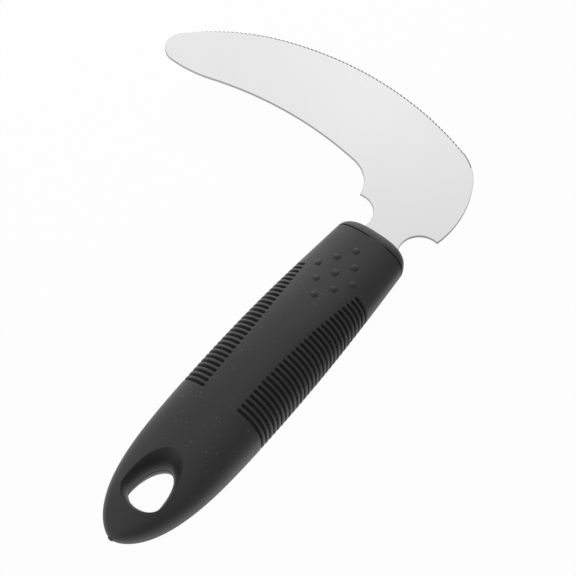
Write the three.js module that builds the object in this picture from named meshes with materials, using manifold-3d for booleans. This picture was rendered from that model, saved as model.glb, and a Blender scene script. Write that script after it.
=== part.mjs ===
import * as THREE from 'three';
import { mergeVertices } from 'three/addons/utils/BufferGeometryUtils.js';
import Module from 'manifold-3d';

const wasm = await Module();
wasm.setup();

// Millimetres. X runs along the handle from butt to blade, Y toward the long end of the blade, Z up.

// Grip outside
const HANDLE_LENGTH = 123.6;
const HANDLE_WIDTH = 29.5;
const FRONT_WIDTH = 24.2;
const HANDLE_THICKNESS = 24.4;
const BUTT_THICKNESS = 11.6;
const FRONT_THICKNESS = 17;
const WIDEST_AT = 0.45;
const THICKEST_FROM = 0.53;
const THICKEST_TO = 0.59;
const SECTION_POWER = 2.6;
const BUTT_ROUNDING = 14;
const BUTT_FULLNESS = 3.7;
const BUTT_BLUNTNESS = 0.6;
const NUB_RADIUS = 1.1;
const NUB_REACH = 0.4;

// Ribs on both sides of the grip
const RIB_COUNT = 29;
const RIB_PITCH = 1.81;
const RIB_SETBACK = 24.5;
const GROOVE_WIDTH = 0.85;
const GROOVE_DEPTH = 0.85;
const RIB_INNER_FRONT = 9.5;
const RIB_INNER_MIDDLE = 7.1;
const RIB_INNER_REAR = 6.2;

// Nine dots in a diamond on top of the grip
const DOT_RADIUS = 1.2;
const DOT_HEIGHT = 0.5;
const DOT_SETBACK = 21.9;
const DOT_STEP_ALONG = 5.18;
const DOT_STEP_ACROSS = 3.25;

// Egg-shaped hang hole, narrowest at mid thickness; its wall spreads by the curve times the height squared
const HOLE_AT = 14.2;
const HOLE_HALF_WIDTH = 5.3;
const HOLE_FRONT = 11.1;
const HOLE_BACK = 3.25;
const HOLE_CURVE = 0.053;

// Sleeve wall, core, collar and pins
const SLEEVE_WALL = 2.6;
const CLEARANCE = 0.3;
const COLLAR_LENGTH = 4.8;
const COLLAR_ROUNDING = 5;
const SPIGOT_LENGTH = 6;
const SEAM_WIDTH = 0.3;
const SEAM_DEPTH = 0.45;
const PIN_DIAMETER = 4.4;
const PIN_LENGTH = 9;
const FRONT_PIN_SETBACK = 19;
const REAR_PIN_SETBACK = 42;

// Blade sheet
const BLADE_THICKNESS = 1;
const TANG_WIDTH = 13.4;
const TANG_LENGTH = 50;
const TANG_CORNER = 3;
const TANG_RELIEF = 0.1;
const RELIEF_FORWARD = 0.4;
const NOTCH_RADIUS = 7;
const NOTCH_FORWARD = 4.1;
const NECK_WIDTH = 12.6;
const EDGE_RADIUS = 108;
const EDGE_FORWARD = 51.6;
const EDGE_APEX_SIDE = 37.5;
const TOE_RADIUS = 74;
const TOE_START_SIDE = 72;
const TIP_RADIUS = 6.4;
const BLADE_REACH = 103.5;
const BELLY_RADIUS = 45;
const SPINE_RADIUS = 121;
const SPINE_FORWARD = 22.8;
const SPINE_APEX_SIDE = 47.7;
const THROAT_RADIUS = 12;
const THROAT_SIDE = 26.6;
const HEEL_RADIUS = 35.9;
const HEEL_FORWARD = 18.4;
const HEEL_REACH = 15.6;
const HEEL_CORNER_RADIUS = 18.8;
const TOOTH_PITCH = 1.48;
const TOOTH_DEPTH = 0.35;
const TOOTH_RAKE = 0.25;
const TOOTH_SHARE = 0.55;
const NICK_AT = 0.8;

// Facets
const SIDE_SHARES = [-1, -0.94, -0.65, -0.33, 0, 0.33, 0.65, 0.94, 1];
const TOP_SHARES = [0.25, 0.5, 0.75];
const ARC_SAG = 0.03;
const BALL_FACETS = 12;
const EGG_FACETS = 32;
const HOLE_SHARES = [-1, -0.75, -0.5, -0.25, 0, 0.25, 0.5, 0.75, 1];
const PIN_FACETS = 20;
const NOTCH_FACETS = 48;

// Spacing of the rings along the grip
const FIRST_RING = 0.15;
const CAP_LENGTH = 3;
const CAP_STEP = 0.8;
const BUTT_STEP = 4;
const REAR_STEP = 8;
const FRONT_STEP = 6;
const INNER_STEP = 11;

const ease = (t) => (1 - Math.cos(Math.PI * THREE.MathUtils.clamp(t, 0, 1))) / 2;

// Half width of the grip at a distance x from the butt: a blunt egg end, then a slow taper to the front.
function halfWidth(x) {
  const widest = WIDEST_AT * HANDLE_LENGTH;
  if (x < widest) {
    return HANDLE_WIDTH / 2 * Math.pow(1 - Math.pow(1 - x / widest, BUTT_FULLNESS), BUTT_BLUNTNESS);
  }
  const along = (x - widest) / (HANDLE_LENGTH - widest);
  return HANDLE_WIDTH / 2 - (HANDLE_WIDTH - FRONT_WIDTH) / 2 * along * along;
}

// Half thickness of the grip: fullest in the palm, eased down to both ends, rounded over at the butt.
function halfThickness(x) {
  const from = THICKEST_FROM * HANDLE_LENGTH;
  const to = THICKEST_TO * HANDLE_LENGTH;
  const back = (HANDLE_THICKNESS - BUTT_THICKNESS) / 2 * ease((from - x) / from);
  const front = (HANDLE_THICKNESS - FRONT_THICKNESS) / 2 * ease((x - to) / (HANDLE_LENGTH - to));
  const round = 1 - Math.min(x / BUTT_ROUNDING, 1);
  return (HANDLE_THICKNESS / 2 - back - front) * Math.sqrt(1 - round * round);
}

// Height of the top of the grip at a point of its plan.
function topOf(x, y) {
  const side = Math.pow(Math.abs(y) / halfWidth(x), SECTION_POWER);
  return halfThickness(x) * Math.pow(1 - side, 1 / SECTION_POWER);
}

// Place of the ribs along the grip.
const ribFront = HANDLE_LENGTH - RIB_SETBACK;
const ribSpan = (RIB_COUNT - 1) * RIB_PITCH;

// Half width where the grooves between the ribs begin, a parabola through three sizes.
function ribInner(x) {
  const t = THREE.MathUtils.clamp(1 - 2 * (ribFront - x) / ribSpan, -1.2, 1.2);
  const bend = RIB_INNER_FRONT + RIB_INNER_REAR - 2 * RIB_INNER_MIDDLE;
  const slope = RIB_INNER_FRONT - RIB_INNER_REAR;
  return RIB_INNER_MIDDLE + slope / 2 * t + bend / 2 * t * t;
}

// One ring of the grip section, drawn in by two insets. Both sides have their own points as far as the
// grooves reach, and only those are drawn in further by the groove depth.
function ring(x, insetSide, insetTop, groove = 0) {
  const wide = halfWidth(x);
  const high = halfThickness(x);
  const power = 2 / SECTION_POWER;
  const turn = Math.acos(Math.pow(Math.min(ribInner(x) / wide, 0.85), 1 / power));
  const rest = Math.PI - 2 * turn;
  const points = [];
  const place = (angle, extra) => {
    const c = Math.cos(angle);
    const s = Math.sin(angle);
    const y = (wide - insetSide - extra) * Math.sign(c) * Math.pow(Math.abs(c), power);
    const z = (high - insetTop - extra) * Math.sign(s) * Math.pow(Math.abs(s), power);
    points.push(new THREE.Vector3(x, y, z));
  };
  for (const start of [0, Math.PI]) {
    SIDE_SHARES.forEach((share) => place(start + share * turn, Math.abs(share) < 1 ? groove : 0));
    TOP_SHARES.forEach((share) => place(start + turn + share * rest, 0));
  }
  return points;
}

// Closed surface through rings that turn anticlockwise about the way they advance, with a fan at each end.
function loft(rings) {
  const count = rings[0].length;
  const points = rings.flat();
  const index = [];
  for (let r = 0; r < rings.length - 1; r += 1) {
    for (let i = 0; i < count; i += 1) {
      const a = r * count + i;
      const b = r * count + (i + 1) % count;
      index.push(a, b, a + count, b, b + count, a + count);
    }
  }
  const last = (rings.length - 1) * count;
  const middle = (list) => list.reduce((sum, p) => sum.add(p), new THREE.Vector3()).divideScalar(count);
  points.push(middle(rings[0]), middle(rings[rings.length - 1]));
  for (let i = 0; i < count; i += 1) {
    const j = (i + 1) % count;
    index.push(points.length - 2, j, i);
    index.push(points.length - 1, last + i, last + j);
  }
  const geometry = new THREE.BufferGeometry().setFromPoints(points);
  geometry.setIndex(index);
  return geometry;
}

// Solid from a closed geometry, without the triangles that have no area.
function solid(geometry) {
  const bare = geometry.clone();
  bare.deleteAttribute('normal');
  bare.deleteAttribute('uv');
  const merged = mergeVertices(bare, 1e-4);
  const corners = merged.index.array;
  const kept = [];
  for (let i = 0; i < corners.length; i += 3) {
    const [a, b, c] = [corners[i], corners[i + 1], corners[i + 2]];
    if (a !== b && b !== c && c !== a) {
      kept.push(a, b, c);
    }
  }
  return new wasm.Manifold(new wasm.Mesh({
    numProp: 3,
    vertProperties: new Float32Array(merged.attributes.position.array),
    triVerts: new Uint32Array(kept),
  }));
}

function box(x0, x1, y0, y1, z0, z1) {
  const geometry = new THREE.BoxGeometry(x1 - x0, y1 - y0, z1 - z0);
  geometry.translate((x0 + x1) / 2, (y0 + y1) / 2, (z0 + z1) / 2);
  return solid(geometry);
}

// Upright cylinder centred on the blade plane.
function post(x, y, radius, height, facets) {
  const geometry = new THREE.CylinderGeometry(radius, radius, height, facets);
  geometry.rotateX(Math.PI / 2);
  geometry.translate(x, y, 0);
  return solid(geometry);
}

// Evenly spaced positions from a to b with steps no longer than the given one.
function stations(a, b, step) {
  const count = Math.max(1, Math.ceil((b - a) / step));
  return Array.from({ length: count + 1 }, (unused, i) => a + (b - a) * i / count);
}

// The grip's outer form up to x, drawn in by an inset all round.
function gripForm(x0, x1, inset, step) {
  return solid(loft(stations(x0, x1, step).map((x) => ring(x, inset, inset))));
}

// Where the collar meets the sleeve, and where the hollow for the core starts ahead of the hang hole.
const collarBack = HANDLE_LENGTH - COLLAR_LENGTH;
const holeEnd = HOLE_AT + HOLE_FRONT;
const rimHeight = halfThickness(holeEnd);
const hollowBack = holeEnd + HOLE_CURVE * rimHeight * rimHeight + SLEEVE_WALL;
const spigotBack = collarBack - SPIGOT_LENGTH;

// Egg outline of the hang hole at a height: half a long ellipse to the front, half a short one to the back.
function eggRing(z) {
  const spread = HOLE_CURVE * z * z;
  const points = [];
  for (let i = 0; i < EGG_FACETS; i += 1) {
    const angle = 2 * Math.PI * i / EGG_FACETS;
    const reach = (Math.cos(angle) > 0 ? HOLE_FRONT : HOLE_BACK) + spread;
    const x = HOLE_AT + reach * Math.cos(angle);
    const y = (HOLE_HALF_WIDTH + spread) * Math.sin(angle);
    points.push(new THREE.Vector3(x, y, z));
  }
  return points;
}

function hangHole() {
  return solid(loft(HOLE_SHARES.map((share) => eggRing(share * HANDLE_THICKNESS / 2))));
}

// Rings through the ribbed stretch: four to a groove, so that its walls stand upright.
function ribbedRings() {
  const rings = [];
  for (let i = RIB_COUNT - 1; i >= 0; i -= 1) {
    const x0 = ribFront - i * RIB_PITCH - GROOVE_WIDTH / 2;
    const x1 = x0 + GROOVE_WIDTH;
    rings.push(ring(x0, 0, 0), ring(x0, 0, 0, GROOVE_DEPTH), ring(x1, 0, 0, GROOVE_DEPTH), ring(x1, 0, 0));
  }
  return rings;
}

// A low dome standing on the grip, cut from a sphere.
function dot(x, y) {
  const radius = (DOT_RADIUS * DOT_RADIUS + DOT_HEIGHT * DOT_HEIGHT) / (2 * DOT_HEIGHT);
  const geometry = new THREE.SphereGeometry(radius, BALL_FACETS, BALL_FACETS - 2);
  geometry.rotateX(Math.PI / 2);
  geometry.translate(x, y, topOf(x, y) + DOT_HEIGHT - radius);
  const reach = 1.2 * DOT_RADIUS;
  const low = topOf(x, y) - DOT_HEIGHT;
  return solid(geometry).intersect(box(x - reach, x + reach, y - reach, y + reach, low, low + 2 * radius));
}

function gripSleeve() {
  const ribBack = ribFront - ribSpan - RIB_PITCH;
  const plain = [
    ...stations(FIRST_RING, CAP_LENGTH, CAP_STEP),
    ...stations(CAP_LENGTH + BUTT_STEP / 2, holeEnd, BUTT_STEP),
    ...stations(holeEnd + BUTT_STEP, ribFront, REAR_STEP),
  ];
  let sleeve = solid(loft([
    ...plain.filter((x) => x < ribBack).map((x) => ring(x, 0, 0)),
    ...ribbedRings(),
    ...stations(ribFront + RIB_PITCH, collarBack, FRONT_STEP).map((x) => ring(x, 0, 0)),
  ]));
  const nub = new THREE.SphereGeometry(NUB_RADIUS, BALL_FACETS, BALL_FACETS - 2);
  nub.translate(NUB_RADIUS - NUB_REACH, 0, 0);
  sleeve = sleeve.add(solid(nub));
  for (let i = -1; i <= 1; i += 1) {
    for (let j = -1; j <= 1; j += 1) {
      const x = HANDLE_LENGTH - DOT_SETBACK + (i + j) * DOT_STEP_ALONG;
      sleeve = sleeve.add(dot(x, (i - j) * DOT_STEP_ACROSS));
    }
  }
  sleeve = sleeve.subtract(hangHole());
  return sleeve.subtract(gripForm(hollowBack, HANDLE_LENGTH, SLEEVE_WALL, INNER_STEP));
}

// Slot for the tang through a solid between two positions along the handle.
function tangSlot(x0, x1) {
  const halfWide = TANG_WIDTH / 2 + CLEARANCE;
  const halfHigh = BLADE_THICKNESS / 2 + CLEARANCE;
  return box(x0, x1, -halfWide, halfWide, -halfHigh, halfHigh);
}

// End cap: a rounded flange flush with the sleeve, a side seam behind it and a spigot inside the sleeve.
function frontCollar() {
  const rings = [
    ring(collarBack, SEAM_DEPTH, 0),
    ring(collarBack + SEAM_WIDTH, SEAM_DEPTH, 0),
    ring(collarBack + SEAM_WIDTH, 0, 0),
  ];
  const steps = 4;
  const start = Math.max(HANDLE_LENGTH - COLLAR_ROUNDING, collarBack + SEAM_WIDTH);
  const deep = HANDLE_LENGTH - start;
  for (let i = 0; i <= steps; i += 1) {
    const angle = Math.PI / 2 * i / steps;
    const inset = COLLAR_ROUNDING * (1 - Math.cos(angle));
    rings.push(ring(start + deep * Math.sin(angle), inset, inset));
  }
  const inset = SLEEVE_WALL + CLEARANCE;
  const spigot = gripForm(spigotBack, collarBack + SEAM_WIDTH, inset, INNER_STEP);
  return solid(loft(rings)).add(spigot).subtract(tangSlot(spigotBack - 1, HANDLE_LENGTH + 1));
}

const pinAt = [HANDLE_LENGTH - FRONT_PIN_SETBACK, HANDLE_LENGTH - REAR_PIN_SETBACK];

// One half of the core, with the recess for the tang and blind holes for the pins.
function coreHalf(side) {
  const inset = SLEEVE_WALL + CLEARANCE;
  let core = gripForm(hollowBack + CLEARANCE, spigotBack - CLEARANCE, inset, INNER_STEP);
  const far = HANDLE_WIDTH;
  const [low, high] = side > 0 ? [-far, 0] : [0, far];
  core = core.subtract(box(-far, 2 * HANDLE_LENGTH, -far, far, low, high));
  core = core.subtract(tangSlot(HANDLE_LENGTH - TANG_LENGTH - CLEARANCE, HANDLE_LENGTH));
  for (const x of pinAt) {
    core = core.subtract(post(x, 0, PIN_DIAMETER / 2 + CLEARANCE, PIN_LENGTH + 2 * CLEARANCE, PIN_FACETS));
  }
  return core;
}

function onCircle(centre, radius, angle) {
  return new THREE.Vector2(centre.x + radius * Math.cos(angle), centre.y + radius * Math.sin(angle));
}

// Points on a circle from one angle to another, without the last one. The way is 1 for anticlockwise.
function arc(centre, radius, from, to, way = 1) {
  const sweep = THREE.MathUtils.euclideanModulo((to - from) * way, 2 * Math.PI);
  const count = Math.max(2, Math.ceil(sweep / (2 * Math.acos(1 - ARC_SAG / radius))));
  const turn = way * sweep / count;
  return Array.from({ length: count }, (unused, i) => onCircle(centre, radius, from + turn * i));
}

const bearing = (from, to) => Math.atan2(to.y - from.y, to.x - from.x);

// Meeting point of two circles, the one on the left when looking from the first centre to the second.
function meet(a, ra, b, rb, left) {
  const gap = a.distanceTo(b);
  const along = (ra * ra - rb * rb + gap * gap) / (2 * gap);
  const across = Math.sqrt(Math.max(ra * ra - along * along, 0)) * (left ? 1 : -1);
  const u = b.clone().sub(a).divideScalar(gap);
  return new THREE.Vector2(a.x + u.x * along - u.y * across, a.y + u.y * along + u.x * across);
}

// Sheet outline of the blade and its tang, anticlockwise seen from above, from tangent circles.
function bladeOutline() {
  const front = HANDLE_LENGTH;
  const edge = new THREE.Vector2(front + EDGE_FORWARD - EDGE_RADIUS, EDGE_APEX_SIDE);
  const toeTurn = Math.asin((TOE_START_SIDE - EDGE_APEX_SIDE) / EDGE_RADIUS);
  const toe = new THREE.Vector2(
    edge.x + (EDGE_RADIUS - TOE_RADIUS) * Math.cos(toeTurn),
    edge.y + (EDGE_RADIUS - TOE_RADIUS) * Math.sin(toeTurn),
  );
  const tipY = BLADE_REACH - TIP_RADIUS;
  const toeToTip = TOE_RADIUS - TIP_RADIUS;
  const tip = new THREE.Vector2(toe.x + Math.sqrt(toeToTip * toeToTip - (tipY - toe.y) ** 2), tipY);
  const spine = new THREE.Vector2(front + SPINE_FORWARD - SPINE_RADIUS, SPINE_APEX_SIDE);
  const belly = meet(spine, SPINE_RADIUS + BELLY_RADIUS, tip, BELLY_RADIUS - TIP_RADIUS, false);
  const spineToThroat = SPINE_RADIUS - THROAT_RADIUS;
  const throatTurn = Math.asin((THROAT_SIDE - SPINE_APEX_SIDE) / spineToThroat);
  const throat = new THREE.Vector2(spine.x + spineToThroat * Math.cos(throatTurn), THROAT_SIDE);
  const heel = new THREE.Vector2(front + HEEL_FORWARD, HEEL_RADIUS - HEEL_REACH);
  const corner = meet(edge, EDGE_RADIUS - HEEL_CORNER_RADIUS, heel, HEEL_RADIUS - HEEL_CORNER_RADIUS, false);
  const notchX = front + NOTCH_FORWARD;
  const notchY = NECK_WIDTH / 2 + NOTCH_RADIUS;
  const tangHalf = TANG_WIDTH / 2;
  const tangEnd = front - TANG_LENGTH;
  const tangCorner = (side) => new THREE.Vector2(tangEnd + TANG_CORNER, side * (tangHalf - TANG_CORNER));

  // The heel's arc starts inside the round notch that is cut from the sheet.
  const heelStart = Math.asin((notchX + NOTCH_RADIUS * 0.8 - heel.x) / HEEL_RADIUS) - Math.PI / 2;
  const cornerStart = bearing(heel, corner);
  const cornerEnd = bearing(edge, corner);
  const tipStart = bearing(toe, tip);
  const tipEnd = bearing(belly, tip);
  const bellyEnd = bearing(belly, spine);
  const spineStart = bearing(spine, belly);

  // Toothed edge: each tooth rises to the edge line on its way to the tip, then drops into a sharp nick.
  const edgeLength = EDGE_RADIUS * (toeTurn - cornerEnd);
  const toeLength = TOE_RADIUS * (tipStart - toeTurn);
  const teeth = Math.round((edgeLength + toeLength) / TOOTH_PITCH);
  const pitch = (edgeLength + toeLength) / teeth;
  const onEdge = (s, depth) => {
    const onMain = s < edgeLength;
    const radius = onMain ? EDGE_RADIUS : TOE_RADIUS;
    const angle = onMain ? cornerEnd + s / EDGE_RADIUS : toeTurn + (s - edgeLength) / TOE_RADIUS;
    return onCircle(onMain ? edge : toe, radius - depth, angle);
  };
  const toothed = [];
  for (let i = 0; i < teeth; i += 1) {
    toothed.push(onEdge(i * pitch, TOOTH_RAKE));
    toothed.push(onEdge((i + TOOTH_SHARE) * pitch, 0));
    toothed.push(onEdge((i + NICK_AT) * pitch, TOOTH_DEPTH));
  }

  return [
    new THREE.Vector2(notchX, -notchY),
    ...arc(heel, HEEL_RADIUS, heelStart, cornerStart),
    ...arc(corner, HEEL_CORNER_RADIUS, cornerStart, cornerEnd),
    ...toothed,
    ...arc(tip, TIP_RADIUS, tipStart, tipEnd),
    ...arc(belly, BELLY_RADIUS, tipEnd, bellyEnd),
    ...arc(spine, SPINE_RADIUS, spineStart, throatTurn, -1),
    ...arc(throat, THROAT_RADIUS, throatTurn, -Math.PI / 2, -1),
    new THREE.Vector2(notchX, notchY),
    new THREE.Vector2(notchX, tangHalf),
    ...arc(tangCorner(1), TANG_CORNER, Math.PI / 2, Math.PI),
    ...arc(tangCorner(-1), TANG_CORNER, Math.PI, 1.5 * Math.PI),
    new THREE.Vector2(notchX, -tangHalf),
  ];
}

// Flat sheet with round notches at the neck, pin holes and a tang ground a little thinner than the blade.
function blade() {
  const geometry = new THREE.ExtrudeGeometry(new THREE.Shape(bladeOutline()), {
    depth: BLADE_THICKNESS,
    bevelEnabled: false,
  });
  geometry.translate(0, 0, -BLADE_THICKNESS / 2);
  let sheet = solid(geometry);
  const through = 4 * BLADE_THICKNESS;
  const notchX = HANDLE_LENGTH + NOTCH_FORWARD;
  const notchY = NECK_WIDTH / 2 + NOTCH_RADIUS;
  for (const side of [1, -1]) {
    sheet = sheet.subtract(post(notchX, side * notchY, NOTCH_RADIUS, through, NOTCH_FACETS));
  }
  for (const x of pinAt) {
    sheet = sheet.subtract(post(x, 0, PIN_DIAMETER / 2 + CLEARANCE, through, PIN_FACETS));
  }
  const back = HANDLE_LENGTH - 2 * TANG_LENGTH;
  const step = HANDLE_LENGTH + RELIEF_FORWARD;
  const tangHalf = BLADE_THICKNESS / 2 - TANG_RELIEF;
  sheet = sheet.subtract(box(back, step, -TANG_WIDTH, TANG_WIDTH, tangHalf, BLADE_THICKNESS));
  sheet = sheet.subtract(box(back, step, -TANG_WIDTH, TANG_WIDTH, -BLADE_THICKNESS, -tangHalf));
  return sheet;
}

// Material of each piece: colour, roughness, metalness.
const rubber = [0x333435, 0.62, 0];
const hardPlastic = [0x2b2c2d, 0.5, 0];
const corePlastic = [0x8a8d90, 0.55, 0];
const steel = [0xd9dadb, 0.3, 1];
const pinSteel = [0xb9bbbd, 0.35, 1];

const pieces = [
  ['blade', blade(), steel],
  ['grip_sleeve', gripSleeve(), rubber],
  ['front_collar', frontCollar(), hardPlastic],
  ['core_upper_half', coreHalf(1), corePlastic],
  ['core_lower_half', coreHalf(-1), corePlastic],
  ['tang_pin_front', post(pinAt[0], 0, PIN_DIAMETER / 2, PIN_LENGTH, PIN_FACETS), pinSteel],
  ['tang_pin_rear', post(pinAt[1], 0, PIN_DIAMETER / 2, PIN_LENGTH, PIN_FACETS), pinSteel],
];

const group = new THREE.Group();
group.name = 'rocker_knife';
for (const [name, form, [color, roughness, metalness]] of pieces) {
  const data = form.getMesh();
  const geometry = new THREE.BufferGeometry();
  geometry.setAttribute('position', new THREE.BufferAttribute(new Float32Array(data.vertProperties), 3));
  geometry.setIndex(new THREE.BufferAttribute(new Uint32Array(data.triVerts), 1));
  geometry.computeVertexNormals();
  const mesh = new THREE.Mesh(geometry, new THREE.MeshStandardMaterial({ color, roughness, metalness }));
  mesh.name = name;
  group.add(mesh);
}

// The frame's origin is the middle of the underside of the whole knife.
const bounds = new THREE.Box3().setFromObject(group);
const middle = bounds.getCenter(new THREE.Vector3());
for (const mesh of group.children) {
  mesh.geometry.translate(-middle.x, -middle.y, -bounds.min.z);
}

export default group;
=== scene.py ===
import bmesh
import bpy
import numpy as np
from mathutils import Matrix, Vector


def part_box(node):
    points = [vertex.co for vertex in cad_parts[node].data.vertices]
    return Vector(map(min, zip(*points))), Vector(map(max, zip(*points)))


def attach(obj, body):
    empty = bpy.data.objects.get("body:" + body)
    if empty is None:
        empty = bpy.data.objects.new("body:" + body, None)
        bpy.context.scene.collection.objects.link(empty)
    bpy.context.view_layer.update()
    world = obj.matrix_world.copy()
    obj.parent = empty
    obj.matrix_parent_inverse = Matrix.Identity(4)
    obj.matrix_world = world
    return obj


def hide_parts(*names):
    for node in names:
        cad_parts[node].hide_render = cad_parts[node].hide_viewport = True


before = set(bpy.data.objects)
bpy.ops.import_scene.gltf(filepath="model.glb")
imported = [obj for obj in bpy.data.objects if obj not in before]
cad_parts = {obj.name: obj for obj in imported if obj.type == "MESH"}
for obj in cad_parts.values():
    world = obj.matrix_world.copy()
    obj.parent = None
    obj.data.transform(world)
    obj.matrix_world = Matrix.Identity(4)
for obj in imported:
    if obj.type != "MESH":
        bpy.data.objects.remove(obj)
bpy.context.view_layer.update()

# Sizes in millimetres, the main ones the same as the solids have. X runs from the butt to the blade, Y toward
# the long end of the blade, Z up from the middle of the blade sheet.

# Grip outside
HANDLE_LENGTH = 123.6
HANDLE_WIDTH = 29.5
FRONT_WIDTH = 24.2
HANDLE_THICKNESS = 24.4
BUTT_THICKNESS = 11.6
FRONT_THICKNESS = 17
WIDEST_AT = 0.45
THICKEST_FROM = 0.53
THICKEST_TO = 0.59
SECTION_POWER = 2.6
BUTT_ROUNDING = 14
BUTT_FULLNESS = 3.7
BUTT_BLUNTNESS = 0.6
NUB_RADIUS = 1.1
NUB_REACH = 0.4
NUB_OUT_OF_ROUND = 0.1

# Profile of the nub: how far inside the butt's end, and the share of its radius there
NUB_PROFILE = ((1.2, 0), (1.2, 1), (0.5, 0.96), (0.1, 0.86), (-0.15, 0.68), (-0.3, 0.4), (-0.35, 0))

# Ribs, with the soft edge that the moulded grooves have
RIB_COUNT = 29
RIB_PITCH = 1.81
RIB_SETBACK = 24.5
GROOVE_WIDTH = 0.85
GROOVE_DEPTH = 0.85
GROOVE_SOFTNESS = 0.15
RIB_INNER_FRONT = 9.5
RIB_INNER_MIDDLE = 7.1
RIB_INNER_REAR = 6.2
RIB_OVERRUN = 1.2
GROOVE_END_BLUNTNESS = 1.1

# Nine dots in a diamond
DOT_RADIUS = 1.2
DOT_HEIGHT = 0.5
DOT_POWER = 2.6
DOT_ROOT = 0.3
DOT_SETBACK = 21.9
DOT_STEP_ALONG = 5.18
DOT_STEP_ACROSS = 3.25

# Hang hole, narrowest at mid thickness, with a softened rim and the thin line that the mould leaves
HOLE_AT = 14.2
HOLE_HALF_WIDTH = 5.3
HOLE_FRONT = 11.1
HOLE_BACK = 3.25
HOLE_CURVE = 0.053
RIM_ROUNDING = 0.12
WAIST_LINE = 0.1
BUTT_LENGTH = 36

# Middle and half sizes of the hang hole in the butt's two values: the square root of the share of its length,
# and the angle round the section
HOLE_MIDDLE_ROOT = 0.69
HOLE_HALF_ROOT = 0.175
HOLE_HALF_ANGLE = 0.48

# Collar
COLLAR_LENGTH = 4.8
COLLAR_ROUNDING = 5
SEAM_WIDTH = 0.3
SEAM_DEPTH = 0.45
SEAM_SHUT_MIDDLE = -0.18
SEAM_SHUT_HALF = 0.22
END_INSET = 2.6
LIP_ROUNDING = 0.12
SLOT_HALF_WIDTH = 7.0
SLOT_HALF_HEIGHT = 0.8
SLOT_DEPTH = 5.5
SLOT_POWER = 0.2
SLOT_RINGS = (0.15, 2.5, SLOT_DEPTH)

# Profile of the seam from its floor to the collar's flange: shares of its width and of its depth
SEAM_PROFILE = ((0, 2.6), (0, 1), (0.04, 1), (0.8, 1), (0.95, 0.75), (1, 0.3), (1, 0.1))

# Blade sheet
BLADE_THICKNESS = 1
TANG_WIDTH = 13.4
TANG_LENGTH = 50
TANG_CORNER = 3
NOTCH_RADIUS = 7
NOTCH_FORWARD = 4.1
NECK_WIDTH = 12.6
EDGE_RADIUS = 108
EDGE_FORWARD = 51.6
EDGE_APEX_SIDE = 37.5
TOE_RADIUS = 74
TOE_START_SIDE = 72
TIP_RADIUS = 6.4
BLADE_REACH = 103.5
BELLY_RADIUS = 45
SPINE_RADIUS = 121
SPINE_FORWARD = 22.8
SPINE_APEX_SIDE = 47.7
THROAT_RADIUS = 12
THROAT_SIDE = 26.6
HEEL_RADIUS = 35.9
HEEL_FORWARD = 18.4
HEEL_REACH = 15.6
HEEL_CORNER_RADIUS = 18.8
HEEL_GROUND = 6.6
TOOTH_PITCH = 1.48
TOOTH_DEPTH = 0.35
TOOTH_RAKE = 0.25
TOOTH_SHARE = 0.55
NICK_AT = 0.8

# Ground edge: where along a tooth, in shares of the pitch, it is wide and narrow, then its widths
BACK_START = 0.05
BACK_END = TOOTH_SHARE + 0.06
NICK_START = TOOTH_SHARE + 0.12
NICK_END = 0.95
GROUND_WIDTH = 0.5
GROUND_FIRST = 0.75
GROUND_GAIN = 0.5
GROUND_RUNOUT = 4
GROUND_IN_NICK = 0.33
GROUND_AT_HEEL = 0.7
GROUND_SLOPE = 0.15
BURR_WIDTH = 0.12
BURR_SLOPE = 0.8
# Share of the painted edge shade that the burr's bevels take, against the whole on the edge face
BURR_SHARE = 0.7

COLLAR_BACK = HANDLE_LENGTH - COLLAR_LENGTH
RIB_FRONT = HANDLE_LENGTH - RIB_SETBACK
RIB_SPAN = (RIB_COUNT - 1) * RIB_PITCH
ROUNDNESS = 2 / SECTION_POWER

# How finely the grip is laid out round its section: points on each ribbed side, on the top and the underside,
# how much they crowd at the inner ends of the grooves, and how near the side those may come
SIDE_POINTS = 37
TOP_POINTS = 31
CROWDING = 1.6
INNER_LIMIT = 0.85
ANGLE_SLACK = 1e-9

# Rings along the grip: behind the ribs, beside each groove's middle, ahead of the ribs and at the seam
REAR_RINGS = 10
GROOVE_RINGS = 7
GROOVE_RING_FIRST = 0.14
GROOVE_RING_LAST = 0.68
PLAIN_LEAD = 1.4
FRONT_RINGS = 24
LIP_LEAD = 0.3
LIP_RINGS = 6

# Rows and columns of the butt with the hang hole, the nub, the dots and the collar
CAP_POINTS = 27
BUTT_ROWS = 27
HOLE_STEPS = 720
RIM_ROUNDS = 12
RIM_ROWS = 7
WALL_ROWS = 16
WALL_LOWEST = 0.04
NUB_COLUMNS = 24
DOT_COLUMNS = 28
DOT_ROWS = 10
COLLAR_RINGS = 22
FACE_RINGS = 7

# Steps along the blade's outline, and the fine steps in a millimetre by which points are told apart
ARC_STEP = 0.35
TIP_STEP = 0.2
LINE_STEP = 0.6
STEPS_PER_TOOTH = 20
WELD_STEPS = 1e4

# Where the butt's round end, the handle's middle line and the middle of the sheet are in the frame.
grip_low, grip_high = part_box("grip_sleeve")
ORIGIN = np.array([
    grip_low.x + NUB_REACH / 1000,
    (grip_low.y + grip_high.y) / 2,
    (grip_low.z + grip_high.z) / 2,
])


def ease(t):
    """Half a cosine wave from 0 to 1."""
    return (1 - np.cos(np.pi * np.clip(t, 0, 1))) / 2


def soft_step(t):
    """Cubic step from 0 to 1, level at both ends."""
    t = np.clip(t, 0, 1)
    return t * t * (3 - 2 * t)


def half_width(x):
    """A blunt egg end up to the widest place, then a parabola that draws in to the front."""
    widest = WIDEST_AT * HANDLE_LENGTH
    behind = np.clip(1 - x / widest, 0, 1)
    ahead = np.clip((x - widest) / (HANDLE_LENGTH - widest), 0, None)
    blunt = (1 - behind ** BUTT_FULLNESS) ** BUTT_BLUNTNESS
    return HANDLE_WIDTH / 2 * blunt - (HANDLE_WIDTH - FRONT_WIDTH) / 2 * ahead ** 2


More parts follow.
